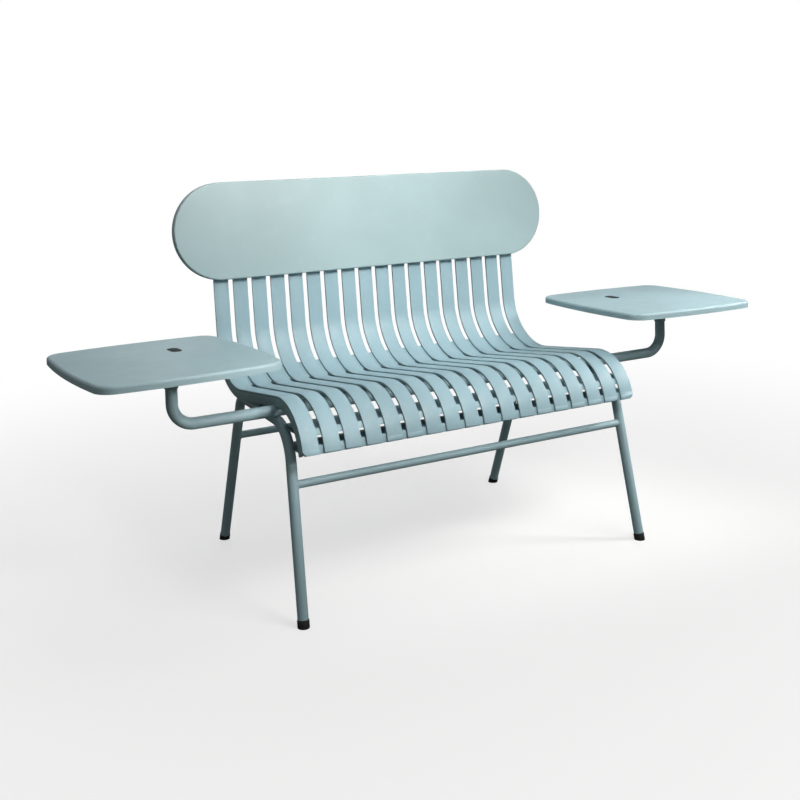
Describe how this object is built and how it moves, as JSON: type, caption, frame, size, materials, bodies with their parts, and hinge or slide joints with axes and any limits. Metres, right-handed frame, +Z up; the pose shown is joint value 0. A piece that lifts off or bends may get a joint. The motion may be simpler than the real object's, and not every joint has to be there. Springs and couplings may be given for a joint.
{
  "type": "outdoor double chair",
  "caption": "Slatted metal outdoor double chair with an oblong back panel, splayed tube legs and a side table on a bent tube at each end.",
  "frame": {"origin": "on the floor, in the middle of the footprint of the four feet", "axes": "+X along the bench to the sitter's left hand, which is the right side seen from the front, -Y to the front, +Z up"},
  "size_m": [1.7906, 0.6258, 0.9335],
  "materials": {
    "slats": "matt powder coat",
    "panel": "matt powder coat",
    "frame": "matt powder coat",
    "tables": "matt powder coat",
    "inlay": "satin",
    "caps": "matt",
    "fasteners": "powder coated with the frame"
  },
  "bodies": {
    "root": {"slat_01": "slats", "slat_02": "slats", "slat_03": "slats", "slat_04": "slats", "slat_05": "slats", "slat_06": "slats", "slat_07": "slats", "slat_08": "slats", "slat_09": "slats", "slat_10": "slats", "slat_11": "slats", "slat_12": "slats", "slat_13": "slats", "slat_14": "slats", "slat_15": "slats", "slat_16": "slats", "slat_17": "slats", "slat_18": "slats", "back_panel": "panel", "left_leg_frame": "frame", "right_leg_frame": "frame", "front_stretcher": "frame", "rear_stretcher": "frame", "table_tube": "frame", "front_rail": "frame", "mid_rail": "frame", "rear_rail": "frame", "front_beam": "frame", "left_rib": "frame", "right_rib": "frame", "panel_rail_lower": "frame", "panel_rail_upper": "frame", "left_table_socket": "frame", "right_table_socket": "frame", "left_table_plate": "frame", "right_table_plate": "frame", "left_table_top": "tables", "right_table_top": "tables", "left_table_inlay": "inlay", "right_table_inlay": "inlay", "front_left_foot_cap": "caps", "front_right_foot_cap": "caps", "rear_left_foot_cap": "caps", "rear_right_foot_cap": "caps", "panel_bolts": "fasteners", "table_screws": "fasteners"}
  },
  "joints": []
}
